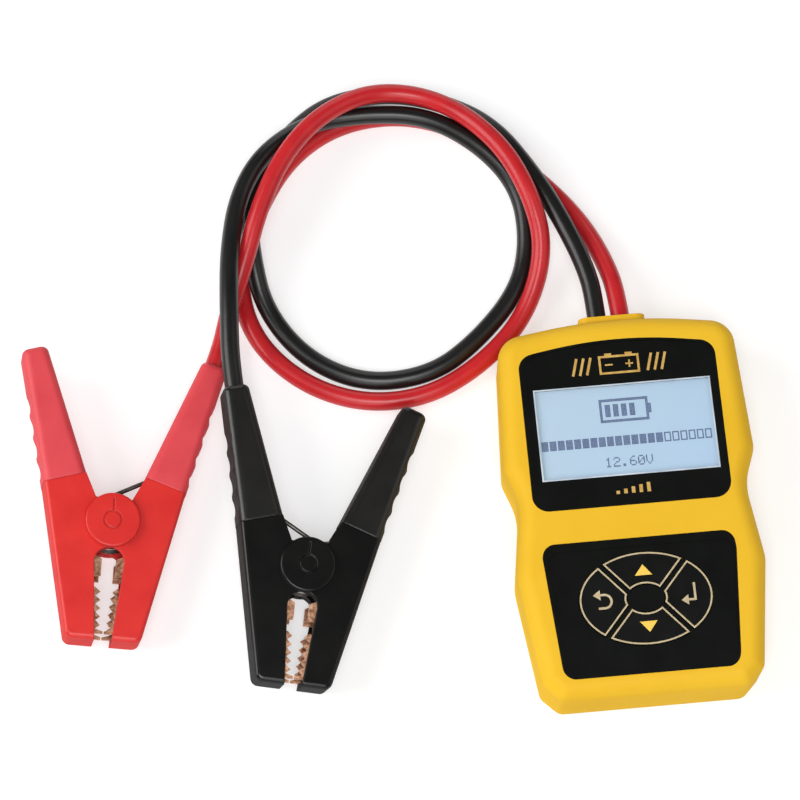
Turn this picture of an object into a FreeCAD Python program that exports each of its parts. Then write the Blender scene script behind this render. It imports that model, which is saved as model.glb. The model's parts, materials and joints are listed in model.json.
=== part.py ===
import FreeCAD, Part
import os
from math import acos, ceil, cos, hypot, pi, radians, sin, sqrt, tan

V = FreeCAD.Vector

# Tester housing, with places along it counted up from its lower end or down from its upper end
body_length = 120.0
body_height = 26.0
parting_height = 12.0
wall = 2.2
front_round = 5.0
rear_round = 2.5
top_corner_width = 73.9
top_corner_drop = 3.7
top_corner_radius = 8.0
crown_radius = 160.0
crown_slope = 8.5
bulge_width = 78.4
bulge_drop = 45.5
bulge_radius = 8.0
waist_width = 70.2
waist_drop = 56.7
waist_radius = 20.0
lower_bulge_width = 77.0
lower_bulge_up = 39.5
lower_bulge_radius = 12.0
foot_width = 68.0
foot_up = 5.4
bottom_edge_width = 57.2
foot_radius = 4.0
lip_height = 1.6
lip_depth = 3.0
lip_thickness = 1.0
lip_gap = 0.1

# Collar on the upper end, and the two leads that leave through it
collar_width = 21.0
collar_length = 2.1
collar_depth = 17.0
collar_radius = 3.0
lead_diameter = 6.0
lead_spacing = 7.7
lead_hole_gap = 0.2
lead_inner_drop = 13.5
lead_straight = 8.0
core_diameter = 3.6
core_inner_drop = 23.0
saddle_length = 6.0
saddle_drop = 11.0
saddle_width = 24.0
strap_thickness = 2.4
strap_gap = 0.1
strap_radius = 1.0
strap_screw_x = 8.5

# Front panels, window and keys
panel_thickness = 0.8
panel_recess = 1.0
panel_gap = 0.15
display_panel_width = 60.2
display_panel_foot_drop = 60.6
display_panel_crown_drop = 7.8
display_panel_crown_radius = 130.0
display_panel_crown_slope = 9.0
display_panel_radius = 5.0
keypad_top_width = 59.0
keypad_top_up = 46.1
keypad_foot_width = 52.8
keypad_foot_up = 6.7
keypad_radius = 4.0
window_border = 2.8
window_length = 28.9
window_drop = 36.9
window_radius = 0.6
window_gap = 0.1
key_centre_up = 29.0
key_ring_border = 9.1
key_ring_length = 29.0
key_eye_width = 12.0
key_eye_length = 9.0
key_bar_angle = 48.7
key_bar_aim = 3.5
key_bar_gap = 1.5
key_gap = 0.25
key_flange = 0.55
key_flange_thickness = 0.8
key_flange_gap = 0.2
key_rise = 0.2
key_travel = 0.4
key_stem_radius = 1.75
key_stem_length = 0.45
key_stem_gap = 0.05

# Display module and circuit board
glass_lap = 0.7
glass_thickness = 2.0
glass_drop = 0.2
glass_gap = 0.3
backlight_thickness = 4.0
bezel_rim = 1.5
bezel_end_rim = 3.8
bezel_thickness = 3.0
pin_row_inset = 8.0
pin_row_width = 2.5
board_under = 14.0
board_thickness = 1.6
board_width = 60.0
board_foot_up = 13.0
board_top_drop = 20.0
board_radius = 3.0
switch_width = 6.0
switch_height = 3.5
switch_button_radius = 1.75
board_post_radius = 2.6
board_screw_radius = 1.1
board_screw_head_radius = 2.0
board_screw_head_height = 1.4
board_screw_grip = 4.0
board_post_top_x = 26.0
board_post_foot_x = 22.0
board_post_foot_up = 17.0
resistor_width = 7.0
resistor_length = 22.0
resistor_height = 6.5
resistor_pitch = 9.0
resistor_drop = 54.0
transistor_width = 10.0
transistor_length = 15.0
transistor_height = 4.6
transistor_spacing = 26.0
transistor_drop = 30.0
capacitor_radius = 4.0
capacitor_height = 9.0
capacitor_pitch = 10.0
capacitor_up = 36.0
chip_width = 12.0
chip_length = 12.0
chip_height = 1.6
chip_spacing = 22.0
chip_up = 24.0

# Case screws, driven from the back
case_screw_radius = 1.4
case_screw_head_radius = 2.6
case_screw_head_height = 2.0
case_screw_sink = 3.0
case_screw_grip = 7.0
case_post_radius = 3.2
case_post_top_x = 30.0
case_post_top_drop = 11.0
case_post_foot_x = 26.0
case_post_foot_up = 8.5
screw_gap = 0.1
screw_flat_share = 0.6
screw_dome_share = 0.92
screw_dome_rise = 0.7

# Spring clamps, each about its own pivot with the handles towards +Y
clamp_reach = 37.5
clamp_tip_width = 23.2
arm_height = 15.0
arm_wall = 2.0
arm_cheek = 1.8
arm_tip_radius = 2.5
arm_edge_round = 1.4
arm_middle_gap = 0.5
ear_radius = 8.0
ear_gap = 0.4
inner_ear_thickness = 1.7
ear_side_gap = 0.3
boss_radius = 11.4
pin_radius = 2.4
pin_gap = 0.05
disc_radius = 8.5
disc_thickness = 1.8
disc_gap = 0.15
disc_round = 0.5
disc_ring_radius = 2.9
disc_mark_width = 0.45
disc_mark_length = 4.0
disc_mark_depth = 0.3
slot_top_reach = 8.3
slot_radius = 4.7
slot_tip_width = 5.4
vee_foot_x = 5.6
vee_foot_y = 7.0
handle_angle = 17.5
grip_start_x = 15.7
grip_start_y = 12.6
grip_length = 43.0
grip_start_width = 13.8
grip_end_width = 8.2
grip_start_height = 15.4
grip_end_height = 12.8
grip_corner = 2.6
grip_step = 0.2
grip_wall = 1.7
grip_fit = 0.1
grip_pocket = 32.0
grip_waves = 4
grip_wave_start = 3.0
grip_wave_pitch = 7.0
grip_wave_depth = 0.7
grip_wave_radius = 7.0
grip_end_round = 2.0
core_length = 27.0
core_wall = 1.3
core_root = 2.0
core_bend_reach = 3.0
core_end_reach = 13.8
grip_lead_inner = 28.5
grip_lead_straight = 5.0

# Copper jaws inside the arms
jaw_thickness = 1.0
jaw_gap = 0.1
jaw_seat_gap = 0.05
jaw_tab_reach = 11.9
jaw_tab_x = 2.2
jaw_tab_length = 5.4
jaw_back_x = 8.0
jaw_back_reach = 9.2
jaw_notch_x = 5.2
jaw_notch_length = 3.6
jaw_teeth = 5
jaw_tooth_pitch = 2.6
jaw_tooth_depth = 1.6
jaw_crest_x = 1.9
jaw_crest_step = 0.16
jaw_lip_x = 0.2
jaw_lip_length = 0.8

# Torsion spring round the pivot
spring_wire = 1.4
spring_radius = 7.2
spring_rise = 5.5
spring_turns = 2
spring_leg_angle = 13.0
spring_leg_length = 18.0
spring_stations = 12
spring_rib_start = 10.0
spring_rib_length = 4.5
spring_rib_thickness = 1.6
spring_rib_gap = 0.1

# Where the clamps lie, seen from the middle of the collar's face: pivot, turn about Z, handles up, left side up
red_pivot = V(-162.25, -51.65, 10.8)
red_turn = -8.25
red_pitch = 1.8
red_roll = 9.5
black_pivot = V(-103.2, -71.0, 12.0)
black_turn = -11.3
black_pitch = 4.0
black_roll = 9.5

# Routes of the leads over the floor, seen from the middle of the collar's face
red_route = [
    (0, 25, 7.5), (-5, 42.5, 3), (-20, 58, 3), (-36.5, 71.5, 3), (-56.5, 80, 3), (-77, 77.5, 3),
    (-94, 67, 3), (-106.5, 50, 3), (-116, 30, 3), (-114.5, 9, 3), (-101, -8, 3), (-81.5, -17.5, 3),
    (-60.5, -17.5, 3), (-41.5, -8, 3), (-26, 7.5, 3), (-17.5, 27, 8), (-20, 45, 14.5), (-29, 64.5, 16),
    (-46, 82, 12), (-67, 87, 12), (-86.5, 80.5, 16.5), (-100.5, 65.5, 16.5), (-109, 47.5, 17),
    (-114.5, 30.5, 14), (-120.5, 15.5, 8.7),
]
black_route = [
    (-5.5, 20, 12), (-11, 37.5, 11.5), (-18, 54, 11.5), (-28.5, 74, 7), (-44.5, 85, 3), (-62.5, 89.5, 3),
    (-81, 88.5, 3), (-97, 79, 3), (-105, 65, 5), (-109, 50.5, 9.3), (-110.5, 35, 9.5), (-108, 17.5, 3),
    (-96, 0, 3), (-78.5, -10.5, 3), (-57.5, -9, 3), (-42, 1.5, 3), (-28, 17.5, 3), (-23.5, 33.5, 4),
    (-24.5, 51, 6.5), (-35, 65.5, 9.6), (-51.5, 77, 9.6), (-71.5, 78.5, 9.6), (-90, 77, 9.8),
    (-107.5, 67.5, 11.5), (-117.5, 52.5, 11), (-120.5, 32.5, 16), (-121, 13, 21),
]

# Sizes that follow from those above
window_width = display_panel_width - 2 * window_border
glass_width = window_width + 2 * glass_lap
glass_length = window_length + 2 * glass_lap
bezel_width = glass_width + 2 * bezel_rim
bezel_length = glass_length + 2 * bezel_end_rim
pin_row_length = glass_width - 2 * pin_row_inset
key_ring_width = keypad_top_width - 2 * key_ring_border
key_stem_out_x = (key_ring_width + key_eye_width) / 4
key_stem_out_y = (key_ring_length + key_eye_length) / 4
lower_end = -(body_length + collar_length) / 2
upper_end = lower_end + body_length


def up(distance):
    """Y of a place on the tester, counted from the housing's lower end."""
    return lower_end + distance


def down(distance):
    """Y of a place on the tester, counted from the housing's upper end."""
    return upper_end - distance


def rounded_wire(corners, z, inset=0.0):
    """Closed anticlockwise outline of straight sides and tangent arcs, moved inwards by inset."""
    count = len(corners)
    lines = []
    for index in range(count):
        ax, ay = corners[index][:2]
        bx, by = corners[(index + 1) % count][:2]
        length = hypot(bx - ax, by - ay)
        dx, dy = (bx - ax) / length, (by - ay) / length
        lines.append((ax - dy * inset, ay + dx * inset, dx, dy))
    points = []
    for index in range(count):
        ax, ay, adx, ady = lines[index - 1]
        bx, by, bdx, bdy = lines[index]
        cross = adx * bdy - ady * bdx
        along = ((bx - ax) * bdy - (by - ay) * bdx) / cross
        corner = V(ax + adx * along, ay + ady * along, z)
        radius = corners[index][2]
        if radius:
            radius = max(radius - inset if cross > 0 else radius + inset, radius / 10)
        reach = radius * abs(cross) / (1 + adx * bdx + ady * bdy)
        before = corner - V(adx, ady, 0) * reach
        after = corner + V(bdx, bdy, 0) * reach
        away = (V(bdx, bdy, 0) - V(adx, ady, 0)).normalize()
        middle = corner + away * (hypot(radius, reach) - radius)
        points.append((before, middle, after, radius))
    edges = []
    for index in range(count):
        before, middle, after, radius = points[index]
        if radius:
            edges.append(Part.Arc(before, middle, after).toShape())
        edges.append(Part.LineSegment(after, points[(index + 1) % count][0]).toShape())
    return Part.Wire(edges)


def prism(wire, height):
    """Solid standing on a flat outline."""
    return Part.Face(wire).extrude(V(0, 0, height))


def mirrored_corners(half):
    """Full outline from the corners of its right half, given from the lower edge upwards."""
    return half + [(-x, y, radius) for x, y, radius in reversed(half) if x > 0]


def block(width, length, bottom, top, x, y, radius=0.0):
    """Upright block with rounded vertical edges, centred on x and y."""
    corners = [(x - width / 2, y - length / 2, radius), (x + width / 2, y - length / 2, radius),
               (x + width / 2, y + length / 2, radius), (x - width / 2, y + length / 2, radius)]
    return prism(rounded_wire(corners, bottom), top - bottom)


def post(radius, bottom, top, x, y):
    """Upright cylinder."""
    return Part.makeCylinder(radius, top - bottom, V(x, y, bottom))


def fused(shapes):
    """One solid from pieces that meet."""
    return shapes[0].multiFuse(shapes[1:]).removeSplitter()


def grouped(shapes):
    """Separate solids kept in one node."""
    return Part.makeCompound(shapes)


def export(name, shape):
    """Check a piece and write it to its own file."""
    if not shape.isValid():
        raise ValueError(name + " is not a valid shape")
    shape.exportStep("parts/" + name + ".step")
    print(name, len(shape.Solids), "solids", round(shape.Volume, 1), "mm3")


def tube_path(points, label):
    """Straight runs joined by the largest tangent arcs that they allow."""
    edges = []
    radii = []
    start = points[0]
    for before, corner, after in zip(points, points[1:], points[2:]):
        back = before - corner
        ahead = after - corner
        reach = 0.45 * min(back.Length, ahead.Length)
        back.normalize()
        ahead.normalize()
        turn = pi - acos(max(-1.0, min(1.0, back.dot(ahead))))
        radius = reach / tan(turn / 2)
        radii.append(round(radius))
        first = corner + back * reach
        last = corner + ahead * reach
        middle = corner + (back + ahead).normalize() * (hypot(radius, reach) - radius)
        edges.append(Part.LineSegment(start, first).toShape())
        edges.append(Part.Arc(first, middle, last).toShape())
        start = last
    edges.append(Part.LineSegment(start, points[-1]).toShape())
    path = Part.Wire(edges)
    print(label, "length", round(path.Length, 1), "bend radii", radii)
    return path


def tube(points, diameter, label):
    """Round tube along a route, with its volume compared with section times length."""
    path = tube_path(points, label)
    ring = Part.Wire(Part.makeCircle(diameter / 2, points[0], points[1] - points[0]))
    solid = path.makePipeShell([ring], True, False)
    plain_volume = pi / 4 * diameter ** 2 * path.Length
    print(label, "volume over section times length", round(solid.Volume / plain_volume, 4))
    return solid


# Housing shell
housing_corners = mirrored_corners([
    (bottom_edge_width / 2, up(0), foot_radius),
    (foot_width / 2, up(foot_up), foot_radius),
    (lower_bulge_width / 2, up(lower_bulge_up), lower_bulge_radius),
    (waist_width / 2, down(waist_drop), waist_radius),
    (bulge_width / 2, down(bulge_drop), bulge_radius),
    (top_corner_width / 2, down(top_corner_drop), top_corner_radius),
    (0, upper_end + crown_radius * (1 / cos(radians(crown_slope)) - 1), crown_radius),
])
inner_face = body_height - panel_recess - wall
panel_floor = body_height - panel_recess
panel_top = panel_floor + panel_thickness


def rounded_rim(solid, height, radius):
    """Round the edge loop of a solid at one height."""
    edges = [edge for edge in solid.Edges
             if abs(edge.BoundBox.ZMin - height) < 1e-4 and abs(edge.BoundBox.ZMax - height) < 1e-4]
    return solid.makeFillet(radius, edges)


def collar_half(bottom, top):
    """Part of the collar between two heights."""
    middle = parting_height
    corners = [(-collar_width / 2, middle - collar_depth / 2, collar_radius),
               (collar_width / 2, middle - collar_depth / 2, collar_radius),
               (collar_width / 2, middle + collar_depth / 2, collar_radius),
               (-collar_width / 2, middle + collar_depth / 2, collar_radius)]
    depth = collar_length + wall
    whole = prism(rounded_wire(corners, 0), depth)
    whole.rotate(V(0, 0, 0), V(1, 0, 0), 90)
    whole.translate(V(0, upper_end + collar_length, 0))
    return whole.common(Part.makeBox(body_length, body_length, top - bottom, V(-body_length / 2, 0, bottom)))


saddle_y = down(saddle_drop)
lead_x = [-lead_spacing / 2, lead_spacing / 2]
lead_tunnels = [Part.makeCylinder(lead_diameter / 2 + lead_hole_gap, body_length,
                                  V(x, saddle_y - saddle_length, parting_height), V(0, 1, 0)) for x in lead_x]


def both_sides(x, y):
    """A place and its mirror image on the left side."""
    return [(-x, y), (x, y)]


panel_foot_y = down(display_panel_foot_drop)
board_post_top_y = (up(keypad_top_up) + panel_foot_y) / 2
case_posts = both_sides(case_post_top_x, down(case_post_top_drop))
case_posts += both_sides(case_post_foot_x, up(case_post_foot_up))
board_posts = both_sides(board_post_top_x, board_post_top_y)
board_posts += both_sides(board_post_foot_x, up(board_post_foot_up))
strap_screws_x = [-strap_screw_x, strap_screw_x]

crown_peak = display_panel_crown_radius * (1 / cos(radians(display_panel_crown_slope)) - 1)
panel_peak_y = down(display_panel_crown_drop) + crown_peak
panel_shoulder_y = panel_peak_y - display_panel_width / 2 * tan(radians(display_panel_crown_slope))
display_corners = mirrored_corners([
    (display_panel_width / 2, panel_foot_y, display_panel_radius),
    (display_panel_width / 2, panel_shoulder_y, display_panel_radius),
    (0, panel_peak_y, display_panel_crown_radius),
])
keypad_corners = mirrored_corners([
    (keypad_foot_width / 2, up(keypad_foot_up), keypad_radius),
    (keypad_top_width / 2, up(keypad_top_up), keypad_radius),
])


def key_faces(growth, z):
    """The four key outlines, grown outwards all round: up, right, down and left."""
    centre = V(0, up(key_centre_up), z)
    rings = []
    sizes = ((key_ring_width, key_ring_length, growth), (key_eye_width, key_eye_length, -growth))
    for width, length, grow in sizes:
        ellipse = Part.Ellipse(centre, width / 2 + grow, length / 2 + grow)
        rings.append(Part.Face(Part.Wire(ellipse.toShape())))
    bars = []
    for vertical in (1, -1):
        for sideways in (1, -1):
            bar = Part.makePlane(key_ring_width, key_bar_gap - 2 * growth, V(0, -key_bar_gap / 2 + growth, 0))
            bar.rotate(V(0, 0, 0), V(0, 0, 1), vertical * key_bar_angle)
            if sideways < 0:
                bar = bar.mirror(V(0, 0, 0), V(1, 0, 0))
            bar.translate(centre - V(0, vertical * key_bar_aim, 0))
            bars.append(bar)
    keys = rings[0].cut(rings[1]).cut(bars).Faces
    keys = [key for key in keys if key.Area > key_bar_gap * key_ring_width / 2]
    above = max(keys, key=lambda key: key.CenterOfMass.y)
    right = max(keys, key=lambda key: key.CenterOfMass.x)
    below = min(keys, key=lambda key: key.CenterOfMass.y)
    left = min(keys, key=lambda key: key.CenterOfMass.x)
    return [above, right, below, left]


key_openings = [face.extrude(V(0, 0, body_height)) for face in key_faces(key_gap, 0)]

window_y = down(window_drop)
board_top = board_under + board_thickness
glass_opening = block(glass_width + 2 * glass_gap, glass_length + 2 * glass_gap,
                      parting_height, body_height, 0, window_y)

front = prism(rounded_wire(housing_corners, parting_height), body_height - parting_height)
front = rounded_rim(front, body_height, front_round)
front = front.cut(prism(rounded_wire(housing_corners, parting_height, wall), inner_face - parting_height))
front_posts = [post(case_post_radius, parting_height, inner_face, x, y) for x, y in case_posts]
front_posts += [post(board_post_radius, board_top, inner_face, x, y) for x, y in board_posts]
front = fused([front, collar_half(parting_height, body_height)] + front_posts)
front_cuts = [
    prism(rounded_wire(display_corners, panel_floor, -panel_gap), body_height),
    prism(rounded_wire(keypad_corners, panel_floor, -panel_gap), body_height),
    glass_opening,
]
front_cuts += [post(case_screw_radius + screw_gap, 0, parting_height + case_screw_grip + screw_gap, x, y)
               for x, y in case_posts]
board_screw_end = board_top + board_screw_grip
front_cuts += [post(board_screw_radius + screw_gap, 0, board_screw_end + screw_gap, x, y)
               for x, y in board_posts]
front = front.cut(front_cuts + key_openings + lead_tunnels)

rear = prism(rounded_wire(housing_corners, 0), parting_height)
rear = rounded_rim(rear, 0, rear_round)
rear = rear.cut(prism(rounded_wire(housing_corners, wall, wall), parting_height))
lip_outer = rounded_wire(housing_corners, parting_height - lip_depth, wall + lip_gap)
lip_inner = rounded_wire(housing_corners, parting_height - lip_depth, wall + lip_gap + lip_thickness)
lip = prism(lip_outer, lip_depth + lip_height).cut(prism(lip_inner, lip_depth + lip_height))
lip_root_outer = rounded_wire(housing_corners, parting_height - lip_depth, wall / 2)
lip_root = prism(lip_root_outer, lip_depth).cut(prism(lip_inner, lip_depth))
lip = lip.cut([post(case_post_radius + lip_gap, parting_height, body_height, x, y) for x, y in case_posts])
saddle = block(saddle_width, saddle_length, wall / 2, parting_height, 0, saddle_y)
rear_posts = [post(case_post_radius, wall / 2, parting_height, x, y) for x, y in case_posts]
rear = fused([rear, lip, lip_root, saddle, collar_half(0, parting_height)] + rear_posts)
rear_cuts = [post(case_screw_head_radius + screw_gap, -wall, case_screw_sink, x, y) for x, y in case_posts]
rear_cuts += [post(case_screw_radius + screw_gap, -wall, body_height, x, y) for x, y in case_posts]
strap_screw_end = parting_height - case_screw_grip
rear_cuts += [post(case_screw_radius + screw_gap, strap_screw_end, parting_height, x, saddle_y)
              for x in strap_screws_x]
rear = rear.cut(rear_cuts + lead_tunnels)

# Strap over the leads, with its two screws
strap_top = parting_height + lead_diameter / 2 + strap_thickness
strap = block(saddle_width, saddle_length, parting_height + strap_gap, strap_top, 0, saddle_y, strap_radius)
strap_holes = [post(case_screw_radius + screw_gap, 0, body_height, x, saddle_y) for x in strap_screws_x]
strap = strap.cut(lead_tunnels + strap_holes)


def screw(shank_radius, head_radius, head_height, length, x, y, z, up_sign):
    """Screw with a domed head at z, its shank running along Z in the given sense."""
    flat = V(head_radius * screw_flat_share, 0, -head_height)
    dome = V(head_radius * screw_dome_share, 0, -head_height * screw_dome_rise)
    rim = V(head_radius, 0, 0)
    outline = [V(shank_radius, 0, 0), V(shank_radius, 0, length), V(0, 0, length), V(0, 0, -head_height), flat]
    edges = [Part.Arc(flat, dome, rim).toShape()]
    for start, end in zip([rim] + outline, outline):
        edges.append(Part.LineSegment(start, end).toShape())
    profile = Part.Wire(edges)
    solid = Part.Face(profile).revolve(V(0, 0, 0), V(0, 0, 1), 360)
    if up_sign < 0:
        solid.rotate(V(0, 0, 0), V(1, 0, 0), 180)
    solid.translate(V(x, y, z))
    return solid


case_screws = [screw(case_screw_radius, case_screw_head_radius, case_screw_head_height,
                     parting_height + case_screw_grip - case_screw_sink, x, y, case_screw_sink, 1)
               for x, y in case_posts]
board_screws = [screw(board_screw_radius, board_screw_head_radius, board_screw_head_height,
                      board_thickness + board_screw_grip, x, y, board_under, 1) for x, y in board_posts]
strap_screws = [screw(case_screw_radius, case_screw_head_radius, case_screw_head_height,
                      strap_top - strap_screw_end - screw_gap, x, saddle_y, strap_top, -1)
                for x in strap_screws_x]

# Panels, window and keys
window_corners = mirrored_corners([
    (window_width / 2, window_y - window_length / 2, window_radius),
    (window_width / 2, window_y + window_length / 2, window_radius),
])
display_panel = prism(rounded_wire(display_corners, panel_floor), panel_thickness)
display_panel = display_panel.cut(prism(rounded_wire(window_corners, panel_floor), panel_thickness))
display_window = prism(rounded_wire(window_corners, panel_floor, window_gap), panel_thickness)
keypad_panel = prism(rounded_wire(keypad_corners, panel_floor), panel_thickness).cut(key_openings)

switch_top = board_top + switch_height
flange_top = inner_face - key_flange_gap
flange_bottom = flange_top - key_flange_thickness
stem_bottom = flange_bottom - key_stem_length
button_top = stem_bottom - key_travel - key_stem_gap
key_places = [(0, key_stem_out_y), (key_stem_out_x, 0), (0, -key_stem_out_y), (-key_stem_out_x, 0)]
cap_faces = key_faces(0, flange_bottom)
flange_faces = key_faces(key_flange, flange_bottom)
keys = []
switches = []
for cap_face, flange_face, place in zip(cap_faces, flange_faces, key_places):
    x = place[0]
    y = up(key_centre_up) + place[1]
    cap = cap_face.extrude(V(0, 0, panel_top + key_rise - flange_bottom))
    flange = flange_face.extrude(V(0, 0, key_flange_thickness))
    stem = post(key_stem_radius, stem_bottom, flange_top, x, y)
    keys.append(fused([cap, flange, stem]))
    switch = block(switch_width, switch_width, board_top, switch_top, x, y)
    switches.append(fused([switch, post(switch_button_radius, board_top, button_top, x, y)]))

# Display module
glass_top = panel_floor - glass_drop
glass_bottom = glass_top - glass_thickness
backlight_bottom = glass_bottom - backlight_thickness
glass = block(glass_width, glass_length, glass_bottom, glass_top, 0, window_y)
backlight = block(glass_width, glass_length, backlight_bottom, glass_bottom, 0, window_y)
bezel = block(bezel_width, bezel_length, inner_face - bezel_thickness, inner_face, 0, window_y)
bezel = bezel.cut(glass_opening)
pin_row = block(pin_row_length, pin_row_width, board_top, backlight_bottom, 0,
                window_y + glass_length / 2 - pin_row_width)

# Circuit board and what stands on it
board_length = down(board_top_drop) - up(board_foot_up)
board_y = up(board_foot_up) + board_length / 2
board = block(board_width, board_length, board_under, board_top, 0, board_y, board_radius)
board = board.cut([post(board_screw_radius + screw_gap, 0, body_height, x, y) for x, y in board_posts])
resistors = [block(resistor_width, resistor_length, board_under - resistor_height, board_under,
                   step * resistor_pitch, down(resistor_drop), resistor_width / 6) for step in (-1, 0, 1)]
transistors = [block(transistor_width, transistor_length, board_under - transistor_height, board_under,
                     side * transistor_spacing / 2, down(transistor_drop)) for side in (-1, 1)]
capacitors = [post(capacitor_radius, board_under - capacitor_height, board_under, step * capacitor_pitch,
                   up(capacitor_up)) for step in (-1, 0, 1)]
chips = [block(chip_width, chip_length, board_under - chip_height, board_under,
               side * chip_spacing / 2, up(chip_up)) for side in (-1, 1)]
inner_cores = [Part.makeCylinder(core_diameter / 2, core_inner_drop - lead_inner_drop,
                                 V(x, down(core_inner_drop), parting_height), V(0, 1, 0)) for x in lead_x]

# Spring clamp parts
arm_half = arm_height / 2
inner_half = arm_half - arm_cheek
inner_ear_top = inner_half - ear_side_gap
inner_ear_bottom = inner_ear_top - inner_ear_thickness
handle_along = V(sin(radians(handle_angle)), cos(radians(handle_angle)), 0)
handle_out = V(cos(radians(handle_angle)), -sin(radians(handle_angle)), 0)
grip_start = V(grip_start_x, grip_start_y, 0)


def handle_point(along, out=0.0):
    """Place on the handle of the +X arm, from the foot of its grip and its centre line."""
    return grip_start + handle_along * along + handle_out * out


def handle_width(along):
    """Width of the sleeve at a place along the handle."""
    return grip_start_width + (grip_end_width - grip_start_width) * along / grip_length


def handle_section(along, inset=0.0):
    """Rounded oblong across the handle, drawn in by inset."""
    width = handle_width(along) - 2 * inset
    height = grip_start_height + (grip_end_height - grip_start_height) * along / grip_length - 2 * inset
    radius = max(grip_corner - inset, grip_corner / 4)
    corners = [(-width / 2, -height / 2, radius), (width / 2, -height / 2, radius),
               (width / 2, height / 2, radius), (-width / 2, height / 2, radius)]
    wire = rounded_wire(corners, 0)
    placing = FreeCAD.Rotation(handle_out, V(0, 0, 1), handle_along * -1, "XYZ")
    wire.Placement = FreeCAD.Placement(handle_point(along), placing)
    return wire


def handle_taper(start, end, inset=0.0):
    """Tapered solid between two places along the handle."""
    return Part.makeLoft([handle_section(start, inset), handle_section(end, inset)], True, True)


def make_grip(with_hole):
    """Soft sleeve over a handle, with finger hollows along its outer edge."""
    sleeve = handle_taper(0, grip_length)
    end = handle_point(grip_length)
    rim = []
    for edge in sleeve.Edges:
        if all(abs((vertex.Point - end).dot(handle_along)) < 1e-4 for vertex in edge.Vertexes):
            rim.append(edge)
    sleeve = sleeve.makeFillet(grip_end_round, rim)
    cuts = [handle_taper(0, grip_pocket, grip_wall)]
    for wave in range(grip_waves):
        along = grip_wave_start + (wave + 0.5) * grip_wave_pitch
        middle = handle_point(along, handle_width(along) / 2 + grip_wave_radius - grip_wave_depth)
        foot = middle - V(0, 0, grip_start_height)
        cuts.append(Part.makeCylinder(grip_wave_radius, 2 * grip_start_height, foot))
    if with_hole:
        hole_start = handle_point(grip_pocket / 2)
        cuts.append(Part.makeCylinder(lead_diameter / 2 + lead_hole_gap, grip_length, hole_start, handle_along))
    return sleeve.cut(cuts)


def pivot_cylinder(radius, bottom, top):
    """Cylinder about the pivot."""
    return Part.makeCylinder(radius, top - bottom, V(0, 0, bottom))


tip_y = -clamp_reach
tip_out = V(clamp_tip_width / 2, tip_y, 0)
arm_shoulder = handle_point(0, grip_start_width / 2 - grip_step)
arm_armpit = handle_point(0, grip_step - grip_start_width / 2)
outer_along = (arm_shoulder - tip_out).normalize()


def outer_edge_x(y, depth=0.0):
    """X of the arm's outer edge at y, or of a line that lies depth inside it."""
    return tip_out.x + (y - tip_y) * outer_along.x / outer_along.y - depth / outer_along.y


def spring_leg_point(along, out=0.0):
    """Place along the spring's leg on the +X side, out counted towards the handle's outer wall."""
    angle = radians(spring_leg_angle)
    start = V(-sin(angle), cos(angle), 0) * spring_radius
    return start + V(cos(angle), sin(angle), 0) * along + V(sin(angle), -cos(angle), 0) * out


def make_slot():
    """Keyhole gap between the two arms, round at the pivot and narrow at the tip."""
    slot_y = -slot_top_reach - slot_radius
    tip_left = V(-slot_tip_width / 2, tip_y, -arm_half)
    tip_right = V(slot_tip_width / 2, tip_y, -arm_half)
    top_right = V(slot_radius, slot_y, -arm_half)
    top_left = V(-slot_radius, slot_y, -arm_half)
    edges = [Part.Arc(top_right, V(0, -slot_top_reach, -arm_half), top_left).toShape()]
    for start, end in ((top_left, tip_left), (tip_left, tip_right), (tip_right, top_right)):
        edges.append(Part.LineSegment(start, end).toShape())
    return prism(Part.Wire(edges), arm_height)


def slab(shape, bottom, top):
    """The part of a shape near the pivot that lies between two heights."""
    side = 4 * boss_radius
    return shape.common(Part.makeBox(side, side, top - bottom, V(-side / 2, -side / 2, bottom)))


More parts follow.
